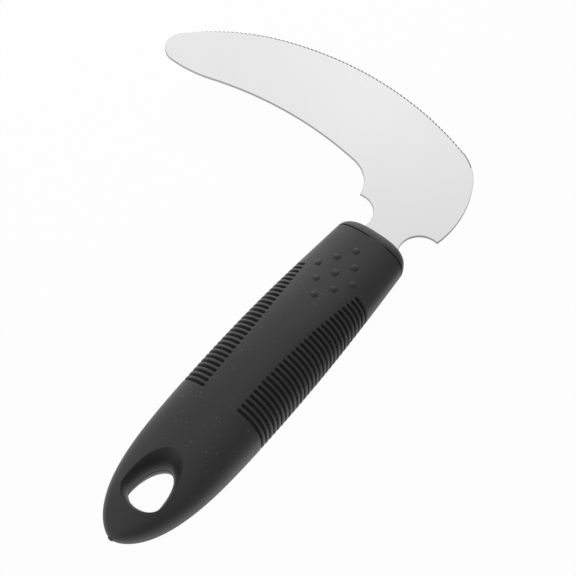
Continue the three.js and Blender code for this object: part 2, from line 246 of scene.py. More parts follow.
def half_thickness(x):
    """Fullest in the palm, eased down to both ends, rounded over by a quarter ellipse at the butt."""
    start = THICKEST_FROM * HANDLE_LENGTH
    end = THICKEST_TO * HANDLE_LENGTH
    back = (HANDLE_THICKNESS - BUTT_THICKNESS) / 2 * ease((start - x) / start)
    front = (HANDLE_THICKNESS - FRONT_THICKNESS) / 2 * ease((x - end) / (HANDLE_LENGTH - end))
    missing = 1 - np.clip(x / BUTT_ROUNDING, 0, 1)
    return (HANDLE_THICKNESS / 2 - back - front) * np.sqrt(1 - missing ** 2)


def on_grip(x, turn, inset=0.0):
    """Points of the grip: at each x a rounded oval, a superellipse, by the angle round its middle."""
    c = np.cos(turn)
    s = np.sin(turn)
    y = (half_width(x) - inset) * np.sign(c) * np.abs(c) ** ROUNDNESS
    z = (half_thickness(x) - inset) * np.sign(s) * np.abs(s) ** ROUNDNESS
    return np.stack(np.broadcast_arrays(x, y, z), -1)


def grip_top(x, y):
    """Height of the grip's top over a point of its plan."""
    side = np.clip(np.abs(y) / half_width(x), 0, 1) ** SECTION_POWER
    return half_thickness(x) * (1 - side) ** (1 / SECTION_POWER)


def rib_inner(x):
    """Half width where the grooves begin: a parabola through the sizes at rear, middle and front."""
    t = np.clip(1 - 2 * (RIB_FRONT - x) / RIB_SPAN, -RIB_OVERRUN, RIB_OVERRUN)
    bend = RIB_INNER_FRONT + RIB_INNER_REAR - 2 * RIB_INNER_MIDDLE
    slope = RIB_INNER_FRONT - RIB_INNER_REAR
    return RIB_INNER_MIDDLE + slope / 2 * t + bend / 2 * t * t


def groove_depth(x, y):
    """Depth of the nearest groove: a trough with rounded edges whose inner end is a blunt half circle."""
    number = np.clip(np.round((RIB_FRONT - x) / RIB_PITCH), 0, RIB_COUNT - 1)
    middle = RIB_FRONT - number * RIB_PITCH
    short = np.clip(rib_inner(middle) + GROOVE_WIDTH / 2 - np.abs(y), 0, None)
    gap = np.hypot(x - middle, GROOVE_END_BLUNTNESS * short)
    return GROOVE_DEPTH * soft_step((GROOVE_WIDTH / 2 + GROOVE_SOFTNESS - gap) / (2 * GROOVE_SOFTNESS))


def ring_turns(x):
    """Angles of the ring points at each x: close together at the inner ends of the grooves."""
    u = np.linspace(-1, 1, SIDE_POINTS)
    share = np.sign(u) * (1 - (1 - np.abs(u)) ** CROWDING)
    step = np.linspace(0, 1, TOP_POINTS + 2)[1:-1]
    side = np.arccos(np.minimum(rib_inner(x) / half_width(x), INNER_LIMIT) ** (1 / ROUNDNESS))[:, None]
    rest = np.pi - 2 * side
    blocks = [side * share, side + rest * step, np.pi + side * share, np.pi + side + rest * step]
    return np.concatenate(blocks, axis=1)


def upper_turns(x):
    """Angles of the ring points on the upper half at one x, from one side over the top to the other."""
    turns = ring_turns(np.array([x]))[0]
    return turns[(turns > -ANGLE_SLACK) & (turns < np.pi + ANGLE_SLACK)]


def seam_open(turn):
    """How far the seam at the collar stands open round the section: shut in one stretch on top.

    The stretch is a flat-topped bell, a fourth power, over the cosine of the angle.
    """
    shut = np.exp(-((np.cos(turn) - SEAM_SHUT_MIDDLE) / SEAM_SHUT_HALF) ** 4) * (np.sin(turn) > 0)
    return 1 - shut


def grip_body():
    """Rings from the butt to the collar, drawn in by the grooves and rounded over at the seam."""
    near = np.linspace(GROOVE_RING_FIRST, GROOVE_RING_LAST, GROOVE_RINGS)
    groove = np.concatenate([-near[::-1], near, [RIB_PITCH / 2]])
    ribbed = (RIB_FRONT - np.arange(RIB_COUNT)[:, None] * RIB_PITCH + groove).ravel()
    lip = np.linspace(0, np.pi / 2, LIP_RINGS)
    x = np.concatenate([
        np.linspace(BUTT_LENGTH, RIB_FRONT - RIB_SPAN - RIB_PITCH / 2, REAR_RINGS),
        np.sort(ribbed),
        np.linspace(RIB_FRONT + PLAIN_LEAD, COLLAR_BACK - LIP_ROUNDING - LIP_LEAD, FRONT_RINGS),
        COLLAR_BACK - LIP_ROUNDING + LIP_ROUNDING * np.sin(lip),
    ])
    turns = ring_turns(x)
    along = x[:, None] + 0 * turns
    rounded = np.zeros(len(x))
    rounded[-len(lip):] = LIP_ROUNDING * (1 - np.cos(lip))
    bare = on_grip(along, turns)
    drawn = groove_depth(along, bare[..., 1]) + rounded[:, None] * seam_open(turns)
    rings = on_grip(along, turns, drawn)
    deeper = on_grip(along[-1:], turns[-1:], END_INSET)
    end = np.broadcast_to([COLLAR_BACK, 0.0, 0.0], deeper.shape)
    return np.concatenate([rings, deeper, end])


def raised_dot(along, across):
    """One dot: a cap, steeper than a parabola at its foot, standing on the grip's top."""
    turn = np.linspace(0, 2 * np.pi, DOT_COLUMNS + 1)[:-1]
    share = np.linspace(0, 1, DOT_ROWS)[:, None]
    out = DOT_RADIUS * np.concatenate([share, [[1.0], [0.0]]])
    up = np.concatenate([DOT_HEIGHT * (1 - share ** DOT_POWER), [[-DOT_ROOT], [-DOT_ROOT]]])
    x = along + out * np.cos(turn)
    y = across + out * np.sin(turn)
    return np.stack([x, y, grip_top(x, y) + up], -1)


def raised_dots():
    """Nine dots, three by three, in a diamond along the handle."""
    i, j = np.meshgrid(np.arange(-1, 2), np.arange(-1, 2))
    along = HANDLE_LENGTH - DOT_SETBACK + (i + j).ravel() * DOT_STEP_ALONG
    across = (i - j).ravel() * DOT_STEP_ACROSS
    return [raised_dot(*place) for place in zip(along, across)]


def egg(turn, spread=0.0):
    """Plan of the hang hole: half a long ellipse to the front, half a short one to the back, and a spread."""
    reach = np.where(np.cos(turn) > 0, HOLE_FRONT, HOLE_BACK) + spread
    return HOLE_AT + reach * np.cos(turn), (HOLE_HALF_WIDTH + spread) * np.sin(turn)


def hole_rim(turn):
    """Spread and height of the rim, where the curved wall of the hole comes out at the grip's top.

    Each is worked out from the other until they agree.
    """
    height = half_thickness(HOLE_AT) + 0 * turn
    for _ in range(RIM_ROUNDS):
        height = grip_top(*egg(turn, HOLE_CURVE * height ** 2))
    return HOLE_CURVE * height ** 2, height


def butt_half(lower):
    """Half of the butt, as a grid from its border to the waist of the hang hole.

    The border runs round a rectangle of two values: the square root of the distance from the butt, and
    the angle round the section. Each column goes straight from a border point to the hole's rim in that
    rectangle, goes over it on a quarter ellipse and down a parabola to the waist, where it ends in a
    thin raised line.
    """
    front = upper_turns(BUTT_LENGTH)
    side = np.linspace(1, 0, SIDE_POINTS)
    cap = np.linspace(np.pi, 0, CAP_POINTS)
    zeros = np.zeros(SIDE_POINTS - 1)
    root = np.concatenate([np.ones(len(front) - 1), side[:-1], np.zeros(CAP_POINTS - 1), side[::-1][:-1]])
    angle = np.concatenate([front[:-1], np.pi + zeros, cap[:-1], zeros])

    def as_border(x, y):
        """Square root of the distance from the butt and angle round the section, of a point on top."""
        across = np.clip(y / half_width(x), -1, 1)
        return np.sqrt(x / BUTT_LENGTH), np.arccos(np.sign(across) * np.abs(across) ** (1 / ROUNDNESS))

    def heading(root_value, angle_value):
        """Direction of a point of the rectangle from the middle of the hole, measured in its half sizes."""
        across = (np.pi / 2 - angle_value) / HOLE_HALF_ANGLE
        return np.arctan2(across, (root_value - HOLE_MIDDLE_ROOT) / HOLE_HALF_ROOT)

    turn = np.linspace(-np.pi, np.pi, HOLE_STEPS + 1)[1:-1]
    lap = np.array([-2, 0, 2])[:, None] * np.pi
    towards = heading(*as_border(*egg(turn, hole_rim(turn)[0] + RIM_ROUNDING)))
    column = np.interp(heading(root, angle), (towards + lap).ravel(), (turn + lap).ravel())
    spread, height = hole_rim(column)
    rim_root, rim_angle = as_border(*egg(column, spread + RIM_ROUNDING))
    share = np.linspace(0, 1, BUTT_ROWS)[:, None]
    skin_root = root + (rim_root - root) * share
    skin_angle = angle + (rim_angle - angle) * share
    skin = on_grip(BUTT_LENGTH * skin_root ** 2, skin_angle)

    def wall_at(level):
        """Points of the wall at a height above the waist."""
        return np.stack(np.broadcast_arrays(*egg(column, HOLE_CURVE * level ** 2), level), -1)

    corner = wall_at(height)
    below = wall_at(height - RIM_ROUNDING)
    over = np.linspace(0, np.pi / 2, RIM_ROWS)[1:-1, None, None]
    rim = corner + (skin[-1] - corner) * (1 - np.sin(over)) + (below - corner) * (1 - np.cos(over))
    wall = wall_at((height - RIM_ROUNDING) * np.linspace(1, WALL_LOWEST, WALL_ROWS)[:, None])
    inner_x, inner_y = egg(column, -WAIST_LINE)
    beside = wall_at(WAIST_LINE + 0 * height)
    ridge = np.stack([inner_x, inner_y, 0 * inner_x], -1)
    grid = np.concatenate([skin, rim, wall, beside[None], ridge[None]])
    return grid * [1, 1, -1] if lower else grid


def moulding_nub():
    """Stub left at the butt: a profile turned round the handle's middle line, a little out of round."""
    turn = np.linspace(0, 2 * np.pi, NUB_COLUMNS + 1)[:-1]
    along, share = np.array(NUB_PROFILE).T[..., None]
    radius = share * NUB_RADIUS * (1 + NUB_OUT_OF_ROUND * np.cos(3 * turn))
    return np.stack(np.broadcast_arrays(along, radius * np.cos(turn), radius * np.sin(turn)), -1)


def collar_rings():
    """End cap: seam floor, flange rounded over to the front, front face, and the slot's walls inward."""
    turns = ring_turns(np.array([COLLAR_BACK]))[0]
    curve = np.linspace(0, np.pi / 2, COLLAR_RINGS)
    seam_along, seam_deep = np.array(SEAM_PROFILE).T
    start = max(HANDLE_LENGTH - COLLAR_ROUNDING, COLLAR_BACK + SEAM_WIDTH)
    x = np.concatenate([
        COLLAR_BACK + SEAM_WIDTH * seam_along,
        start + (HANDLE_LENGTH - start) * np.sin(curve),
    ])
    c = np.cos(turns)
    s = np.sin(turns)
    seam = seam_deep[:, None] * SEAM_DEPTH * seam_open(turns)
    rounding = COLLAR_ROUNDING * (1 - np.cos(curve))[:, None] + 0 * turns
    inset = np.concatenate([seam, rounding])
    rings = on_grip(x[:, None], turns[None, :], inset)
    slot = np.stack([
        np.full(len(turns), HANDLE_LENGTH),
        SLOT_HALF_WIDTH * np.sign(c) * np.abs(c) ** SLOT_POWER,
        SLOT_HALF_HEIGHT * np.sign(s) * np.abs(s) ** SLOT_POWER,
    ], -1)
    share = np.linspace(0, 1, FACE_RINGS + 1)[1:, None, None]
    face = rings[-1] + (slot - rings[-1]) * share
    deep = slot - np.array(SLOT_RINGS)[:, None, None] * [1, 0, 0]
    floor = np.broadcast_to([HANDLE_LENGTH - SLOT_DEPTH, 0.0, 0.0], (1, *slot.shape))
    back = np.broadcast_to([COLLAR_BACK, 0.0, 0.0], (1, *slot.shape))
    return np.concatenate([back, rings, face, deep, floor])


def bearing(start, end):
    """Direction from one point to another."""
    return np.arctan2(end[1] - start[1], end[0] - start[0])


def meet(a, radius_a, b, radius_b):
    """Where two circles meet, on the left when looking from the first middle to the second."""
    gap = np.hypot(*(b - a))
    along = (radius_a ** 2 - radius_b ** 2 + gap ** 2) / (2 * gap)
    across = np.sqrt(max(radius_a ** 2 - along ** 2, 0))
    ahead = (b - a) / gap
    return a + ahead * along + np.array([-ahead[1], ahead[0]]) * across


def blade_path():
    """Outline of the sheet, anticlockwise: points, outward normals, nick depth and width of the ground edge.

    It goes from tangent circle to tangent circle, as a toolmaker would lay it out; each stretch is an arc or
    a straight line in even steps.
    """
    front = HANDLE_LENGTH
    edge = np.array([front + EDGE_FORWARD - EDGE_RADIUS, EDGE_APEX_SIDE])
    toe_turn = np.arcsin((TOE_START_SIDE - EDGE_APEX_SIDE) / EDGE_RADIUS)
    toe = edge + (EDGE_RADIUS - TOE_RADIUS) * np.array([np.cos(toe_turn), np.sin(toe_turn)])
    tip_y = BLADE_REACH - TIP_RADIUS
    tip = np.array([toe[0] + np.sqrt((TOE_RADIUS - TIP_RADIUS) ** 2 - (tip_y - toe[1]) ** 2), tip_y])
    spine = np.array([front + SPINE_FORWARD - SPINE_RADIUS, SPINE_APEX_SIDE])
    belly = meet(tip, BELLY_RADIUS - TIP_RADIUS, spine, SPINE_RADIUS + BELLY_RADIUS)
    throat_turn = np.arcsin((THROAT_SIDE - SPINE_APEX_SIDE) / (SPINE_RADIUS - THROAT_RADIUS))
    throat = spine + (SPINE_RADIUS - THROAT_RADIUS) * np.array([np.cos(throat_turn), np.sin(throat_turn)])
    heel = np.array([front + HEEL_FORWARD, HEEL_RADIUS - HEEL_REACH])
    corner = meet(heel, HEEL_RADIUS - HEEL_CORNER_RADIUS, edge, EDGE_RADIUS - HEEL_CORNER_RADIUS)
    notch_y = NECK_WIDTH / 2 + NOTCH_RADIUS
    upper = np.array([front + NOTCH_FORWARD, notch_y])
    lower = upper * [1, -1]
    tang = TANG_WIDTH / 2
    tang_end = front - TANG_LENGTH + TANG_CORNER
    throat_end = meet(throat, THROAT_RADIUS, upper, NOTCH_RADIUS)
    heel_start = meet(heel, HEEL_RADIUS, lower, NOTCH_RADIUS)
    tang_meet = np.array([upper[0] - np.sqrt(NOTCH_RADIUS ** 2 - (notch_y - tang) ** 2), tang])
    corner_end = bearing(edge, corner)
    ground_start = corner_end - HEEL_GROUND / HEEL_CORNER_RADIUS
    tip_start = bearing(toe, tip)
    tip_end = bearing(belly, tip)
    edge_length = EDGE_RADIUS * (toe_turn - corner_end)
    toe_length = TOE_RADIUS * (tip_start - toe_turn)
    teeth = round((edge_length + toe_length) / TOOTH_PITCH)
    pitch = (edge_length + toe_length) / teeth

    def arc(centre, radius, start, end, way=1, step=ARC_STEP, ground=0.0):
        """Points round a circle without the last one; a way of -1 turns clockwise, round a hollow."""
        sweep = ((end - start) * way) % (2 * np.pi)
        count = max(3, int(np.ceil(sweep * radius / step)))
        angle = start + way * sweep * np.arange(count) / count
        outward = np.stack([np.cos(angle), np.sin(angle)], -1)
        return centre + radius * outward, way * outward, np.zeros(count), np.full(count, ground)

    def line(start, end):
        """Points along a straight stretch without the last one."""
        run = end - start
        count = max(2, int(np.ceil(np.hypot(*run) / LINE_STEP)))
        points = start + run * (np.arange(count) / count)[:, None]
        outward = np.broadcast_to(np.array([run[1], -run[0]]) / np.hypot(*run), points.shape)
        return points, outward, np.zeros(count), np.zeros(count)

    def toothed(centre, radius, start, length, before):
        """Arc of the edge with raked teeth: each rises to the edge line, then drops into a nick, which is
        bright because the ground edge, with its painted shade, is narrow there.

        The edge is ground wide on the backs of the teeth and narrow in the nicks. The ground part gets a
        little wider from the heel on and runs out to the tip with the fourth power of the way.
        """
        count = int(np.ceil(length / (pitch / STEPS_PER_TOOTH)))
        s = length * np.arange(count) / count
        angle = start + s / radius
        outward = np.stack([np.cos(angle), np.sin(angle)], -1)
        place = ((s + before) / pitch) % 1
        nick = np.interp(place, [0, TOOTH_SHARE, NICK_AT, 1], [TOOTH_RAKE, 0, TOOTH_DEPTH, TOOTH_RAKE])
        along_tooth = [BACK_START, BACK_END, NICK_START, NICK_END]
        ground = np.interp(place, along_tooth, [1, 1, GROUND_IN_NICK, GROUND_IN_NICK], period=1)
        travelled = (s + before) / (edge_length + toe_length)
        ground = ground * (GROUND_FIRST + GROUND_GAIN * travelled) * (1 - travelled ** GROUND_RUNOUT)
        return centre + radius * outward, outward, nick, GROUND_WIDTH * ground

    stretches = [
        arc(lower, NOTCH_RADIUS, bearing(lower, tang_meet * [1, -1]), bearing(lower, heel_start), -1),
        arc(heel, HEEL_RADIUS, bearing(heel, heel_start), bearing(heel, corner)),
        arc(corner, HEEL_CORNER_RADIUS, bearing(heel, corner), ground_start),
        arc(corner, HEEL_CORNER_RADIUS, ground_start, corner_end, ground=GROUND_AT_HEEL * GROUND_WIDTH),
        toothed(edge, EDGE_RADIUS, corner_end, edge_length, 0.0),
        toothed(toe, TOE_RADIUS, toe_turn, toe_length, edge_length),
        arc(tip, TIP_RADIUS, tip_start, tip_end, step=TIP_STEP),
        arc(belly, BELLY_RADIUS, tip_end, bearing(belly, spine)),
        arc(spine, SPINE_RADIUS, bearing(spine, belly), throat_turn, -1),
        arc(throat, THROAT_RADIUS, throat_turn, bearing(throat, throat_end), -1),
        arc(upper, NOTCH_RADIUS, bearing(upper, throat_end), bearing(upper, tang_meet), -1),
        line(tang_meet, np.array([tang_end, tang])),
        arc(np.array([tang_end, tang - TANG_CORNER]), TANG_CORNER, np.pi / 2, np.pi),
        line(np.array([tang_end - TANG_CORNER, tang - TANG_CORNER]),
             np.array([tang_end - TANG_CORNER, TANG_CORNER - tang])),
        arc(np.array([tang_end, TANG_CORNER - tang]), TANG_CORNER, np.pi, 1.5 * np.pi),
        line(np.array([tang_end, -tang]), tang_meet * [1, -1]),
    ]
    return [np.concatenate(column) for column in zip(*stretches)]


def blade_strip():
    """Edge of the sheet: a profile of two bevels and an edge face carried round the outline.

    Where the edge is ground the bevels are wide; elsewhere they are the narrow burr left by shearing the
    sheet.
    """
    points, outward, nick, ground = blade_path()
    width = np.maximum(ground, BURR_WIDTH)
    drop = np.where(ground > BURR_WIDTH, GROUND_SLOPE, BURR_SLOPE) * width
    half = BLADE_THICKNESS / 2
    inner = points - outward * (nick + width)[:, None]
    outer = points - outward * nick[:, None]
    rows = [(inner, half + 0 * drop), (outer, half - drop), (outer, drop - half), (inner, 0 * drop - half)]
    strip = np.stack([np.column_stack([flat, height]) for flat, height in rows])
    worked = np.minimum(ground, np.roll(ground, -1)) > BURR_WIDTH
    return strip, np.tile(worked, 3)


def grid_quads(rows, columns):
    """Corner numbers of a grid's quads, row by row; its last column is joined to its first."""
    r = np.arange(rows - 1)[:, None]
    c = np.arange(columns)[None, :]
    d = (c + 1) % columns
    quads = [r * columns + c, r * columns + d, (r + 1) * columns + d, (r + 1) * columns + c]
    return np.stack(np.broadcast_arrays(*quads), -1).reshape(-1, 4)


def turn_outward(mesh):
    """Point every face out of its closed shell."""
    shell = bmesh.new()
    shell.from_mesh(mesh)
    bmesh.ops.recalc_face_normals(shell, faces=shell.faces)
    shell.to_mesh(mesh)
    shell.free()


def add_object(name, mesh):
    """Put a mesh into the scene at the origin."""
    piece = bpy.data.objects.new(name, mesh)
    bpy.context.scene.collection.objects.link(piece)
    return piece


def make_piece(name, grids):
    """One mesh from grids of points in millimetres: welded where they meet, poles closed, faces outward."""
    points = np.concatenate([grid.reshape(-1, 3) for grid in grids])
    starts = np.cumsum([0] + [grid.shape[0] * grid.shape[1] for grid in grids])
    quads = np.concatenate([grid_quads(*grid.shape[:2]) + first for grid, first in zip(grids, starts)])
    keys = np.round(points * WELD_STEPS).astype(np.int64)
    _, kept, number = np.unique(keys, axis=0, return_index=True, return_inverse=True)
    corners = number.reshape(-1)[quads]
    folded = corners == np.roll(corners, -1, axis=1)
    full = corners[folded.sum(1) == 0]
    single = folded.sum(1) == 1
    thirds = corners[single][~folded[single]].reshape(-1, 3)
    mesh = bpy.data.meshes.new(name)
    mesh.from_pydata(points[kept] / 1000 + ORIGIN, [], full.tolist() + thirds.tolist())
    turn_outward(mesh)
    mesh.polygons.foreach_set("use_smooth", np.full(len(mesh.polygons), True))
    return add_object(name, mesh)


def make_blade():
    """Sheet of the blade: the edge strip round the outline, closed by one flat face on each side."""
    strip, ground = blade_strip()
    rows, columns = strip.shape[:2]
    numbers = np.arange(rows * columns).reshape(rows, columns)
    quads = grid_quads(rows, columns)
    faces = quads.tolist() + [numbers[0].tolist(), numbers[-1][::-1].tolist()]
    mesh = bpy.data.meshes.new("blade_sheet")
    mesh.from_pydata(strip.reshape(-1, 3) / 1000 + ORIGIN, [], faces)
    # The ground and cut_edge marks carry the painted shade of the edges to the steel, the first also its
    # roughness.
    worked = mesh.attributes.new("ground", "FLOAT", "FACE")
    worked.data.foreach_set("value", np.append(ground, [0.0, 0.0]).astype(np.float32))
    side = np.append(np.repeat([BURR_SHARE, 1.0, BURR_SHARE], columns), [0.0, 0.0])
    cut = mesh.attributes.new("cut_edge", "FLOAT", "FACE")
    cut.data.foreach_set("value", side.astype(np.float32))
    turn_outward(mesh)
    return add_object("blade_sheet", mesh)


class Wire:
    """One output of a shader node. Sums, differences and products of wires add Math nodes."""

    def __init__(self, tree, socket=None):
        self.tree = tree
        self.socket = socket

    def node(self, kind, settings=None, sockets=None, out=0):
        """Add a node: its settings first, then the values or links of its sockets."""
        made = self.tree.nodes.new(kind)
        for name, value in (settings or {}).items():
            setattr(made, name, value)
        for name, value in (sockets or {}).items():
            if isinstance(value, Wire):
                self.tree.links.new(value.socket, made.inputs[name])
            else:
                made.inputs[name].default_value = value
        return Wire(self.tree, made.outputs[out])

    def math(self, operation, first, second):
        """Math node on two values."""
        return self.node("ShaderNodeMath", {"operation": operation}, {0: first, 1: second})

    def __add__(self, other):
        return self.math("ADD", self, other)

    def __radd__(self, other):
        return self.math("ADD", other, self)

    def __sub__(self, other):
        return self.math("SUBTRACT", self, other)

    def __rsub__(self, other):
        return self.math("SUBTRACT", other, self)

    def __mul__(self, other):
        return self.math("MULTIPLY", self, other)

    def __rmul__(self, other):
        return self.math("MULTIPLY", other, self)


def range_of(value, low, high, to_low=0.0, to_high=1.0):
    """Smooth step of a value between two limits, spread over another range."""
    return value.node("ShaderNodeMapRange", {"interpolation_type": "SMOOTHSTEP"}, {
        "Value": value, "From Min": low, "From Max": high, "To Min": to_low, "To Max": to_high})


def colour_mix(mask, first, second):
    """Mix node between two colours, from its colour sockets."""
    return mask.node("ShaderNodeMix", {"data_type": "RGBA"}, {0: mask, 6: first, 7: second}, 2)


def noise(place, scale, detail=2.0):
    """Noise value at a scale of so many waves a metre."""
    return place.node("ShaderNodeTexNoise", {}, {"Vector": place, "Scale": scale, "Detail": detail})


def grey(value):
    """Neutral colour of one brightness."""
    return (value, value, value, 1.0)


def new_material(name):
    """Empty node material: the wire that adds its nodes, its shader and the object's own coordinates."""
    material = bpy.data.materials.new(name)
    material.use_nodes = True
    tree = material.node_tree
    shader = tree.nodes["Principled BSDF"]
    wire = Wire(tree)
    place = wire.node("ShaderNodeTexCoord", out="Object")
    return material, wire, shader, place


def feed(wire, shader, **sockets):
    """Link wires or set values on the shader's sockets, named with underscores for blanks."""
    for name, value in sockets.items():
        socket = shader.inputs[name.replace("_", " ")]
        if isinstance(value, Wire):
            wire.tree.links.new(value.socket, socket)
        else:
            socket.default_value = value


def grip_rubber():
    """Matt black moulded rubber: fine grain, cloudy tone, patches of pale dust specks, duller grooves."""
    material, wire, shader, place = new_material("grip_rubber")
    cloud = noise(place, 70.0, 3.0)
    skin = noise(place, 3200.0, 2.0)
    dust = {"Vector": place, "Scale": 540.0}
    cells = wire.node("ShaderNodeTexVoronoi", {}, dust)
    picked = wire.node("ShaderNodeTexVoronoi", {}, dust, "Color")
    chosen = wire.node("ShaderNodeSeparateColor", {}, {"Color": picked})
    patch = range_of(noise(place, 60.0, 2.0), 0.42, 0.58)
    grain = range_of(cells, 0.24, 0.06)
    paleness = range_of(chosen, 0.3, 0.8)
    speck = grain * paleness * patch
    tone = colour_mix(cloud, grey(0.018), grey(0.028))
    groove = wire.node("ShaderNodeAttribute", {"attribute_name": "groove"}, {}, "Fac")
    base = colour_mix(speck, tone, grey(0.07))
    bump = wire.node("ShaderNodeBump", {}, {"Strength": 0.25, "Distance": 0.00004, "Height": skin})
    rough = 0.45 + 0.12 * skin + 0.4 * groove
    feed(wire, shader, Base_Color=base, Roughness=rough, Normal=bump, Specular_IOR_Level=0.41)
    return material


def collar_plastic():
    """Hard black plastic: a little smoother than the rubber, with a faint moulded grain."""
    material, wire, shader, place = new_material("collar_plastic")
    cloud = noise(place, 110.0, 2.0)
    skin = noise(place, 4200.0, 1.0)
    base = colour_mix(cloud, grey(0.017), grey(0.025))
    bump = wire.node("ShaderNodeBump", {}, {"Strength": 0.15, "Distance": 0.00003, "Height": skin})
    rough = 0.42 + 0.1 * skin
    feed(wire, shader, Base_Color=base, Roughness=rough, Normal=bump, Specular_IOR_Level=0.45)
    return material


def blade_steel():
    """Satin stainless sheet: fine lines, a cloudy tone, a painted reflection darker toward the tip, and
    painted shade on the cut and ground edges.
    """
    material, wire, shader, place = new_material("blade_steel")
    drawn = wire.node("ShaderNodeMapping", {}, {"Vector": place, "Scale": (2600.0, 120.0, 400.0)})
    lines = noise(drawn, 1.0, 3.0)
    cloud = noise(place, 28.0, 2.0)
    ground = wire.node("ShaderNodeAttribute", {"attribute_name": "ground"}, {}, "Fac")
    cut = wire.node("ShaderNodeAttribute", {"attribute_name": "cut_edge"}, {}, "Fac")
    across = wire.node("ShaderNodeSeparateXYZ", {}, {"Vector": place}, "Y")
    # Painted reflection: the steel is darker toward the tip; the cloud adds an uneven tone of its own.
    painted_reflection_and_cloud = 0.65 * range_of(across, -0.02, 0.045) + 0.35 * cloud
    steel_with_painted_reflection = colour_mix(painted_reflection_and_cloud, grey(0.612), grey(0.52))
    # Painted shade: darker steel on the cut edge faces and burrs, and darker still on the ground edge.
    steel_with_painted_edge_shade = colour_mix(cut, steel_with_painted_reflection, grey(0.21))
    base = colour_mix(ground, steel_with_painted_edge_shade, grey(0.09))
    bump = wire.node("ShaderNodeBump", {}, {"Strength": 0.05, "Distance": 0.00002, "Height": lines})
    rough = 0.26 + 0.1 * lines + 0.12 * ground
    feed(wire, shader, Base_Color=base, Metallic=1.0, Roughness=rough, Normal=bump)
    return material


def core_plastic():
    """Grey moulded filler with glass fibre: pale flecks along the handle."""
    material, wire, shader, place = new_material("core_plastic")
    drawn = wire.node("ShaderNodeMapping", {}, {"Vector": place, "Scale": (500.0, 2400.0, 2400.0)})
    fibre = noise(drawn, 1.0, 2.0)
    base = colour_mix(range_of(fibre, 0.45, 0.7), grey(0.22), grey(0.3))
    bump = wire.node("ShaderNodeBump", {}, {"Strength": 0.2, "Distance": 0.00005, "Height": fibre})
    feed(wire, shader, Base_Color=base, Roughness=0.5 + 0.2 * fibre, Normal=bump)
    return material


def pin_steel():
    """Turned steel pin: fine rings round its upright axis."""
    material, wire, shader, place = new_material("pin_steel")
    drawn = wire.node("ShaderNodeMapping", {}, {"Vector": place, "Scale": (100.0, 100.0, 5200.0)})
    turned = noise(drawn, 1.0, 2.0)
    base = colour_mix(turned, grey(0.45), grey(0.6))
    bump = wire.node("ShaderNodeBump", {}, {"Strength": 0.2, "Distance": 0.00003, "Height": turned})
    feed(wire, shader, Base_Color=base, Metallic=1.0, Roughness=0.28 + 0.15 * turned, Normal=bump)
    return material


def mark_grooves(mesh):
    """Keep on each point of the grip how deep in a groove it lies, from 0 to 1."""
    flat = np.empty(3 * len(mesh.vertices), np.float32)
    mesh.vertices.foreach_get("co", flat)
    points = (flat.reshape(-1, 3) - ORIGIN) * 1000
    share = groove_depth(points[:, 0], points[:, 1]) / GROOVE_DEPTH
    groove = mesh.attributes.new("groove", "FLOAT", "POINT")
    groove.data.foreach_set("value", share.astype(np.float32))


def dress(piece, material):
    """Give a piece one material."""
    piece.data.materials.clear()
    piece.data.materials.append(material)


def dress_pieces():
    """Make the pieces that are seen, let them stand for their solids, and finish the inner solids."""
    rubber = grip_rubber()
    steel = blade_steel()
    grip = [grip_body(), butt_half(False), butt_half(True), moulding_nub(), *raised_dots()]
    skin = make_piece("grip_skin", grip)
    mark_grooves(skin.data)
    collar = make_piece("end_collar", [collar_rings()])
    blade = make_blade()
    for piece, node, slot, material in (
        (skin, "grip_sleeve", "grip_rubber", rubber),
        (collar, "front_collar", "collar_plastic", collar_plastic()),
        (blade, "blade", "blade_steel", steel),
    ):
        dress(piece, material)
        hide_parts(node)
        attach(piece, "root")
    core = core_plastic()
    pin = pin_steel()
    for node in ("core_upper_half", "core_lower_half"):
        dress(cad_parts[node], core)
    for node in ("tang_pin_front", "tang_pin_rear"):
        dress(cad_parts[node], pin)


def seen_directly(wire):
    """1 for rays from the eye, also by way of a mirror or through glass, 0 for rays that carry light."""
    def ray(name):
        return wire.node("ShaderNodeLightPath", out=name)
    direct = wire.math("MAXIMUM", ray("Is Camera Ray"), ray("Is Glossy Ray"))
    return wire.math("MAXIMUM", direct, ray("Is Transmission Ray"))


# Stretches of the floor, in metres, over which a painted shadow at the knife's right and a painted pool of
# light at the blade's neck
# come in where the floor is mirrored: along the handle and across it.
FLOOR_HALF = 2.0
PAINTED_SHADOW_ALONG = (-0.06, 0.0)
PAINTED_SHADOW_ACROSS = (-0.058, -0.075)
NECK_IN_ALONG = (0.01, 0.035)
NECK_OUT_ALONG = (0.055, 0.04)
NECK_ACROSS = (-0.045, -0.03)

# What the mirrored floor gains everywhere, gains at the neck from a painted pool of light and loses to a
# painted shadow, and the share of plain white that the eye sees
FLOOR_SHEEN = 0.4
NECK_PAINTED_LIGHT = 0.6
PAINTED_SHADOW_LOSS = 0.9
FLOOR_WHITE = 0.97


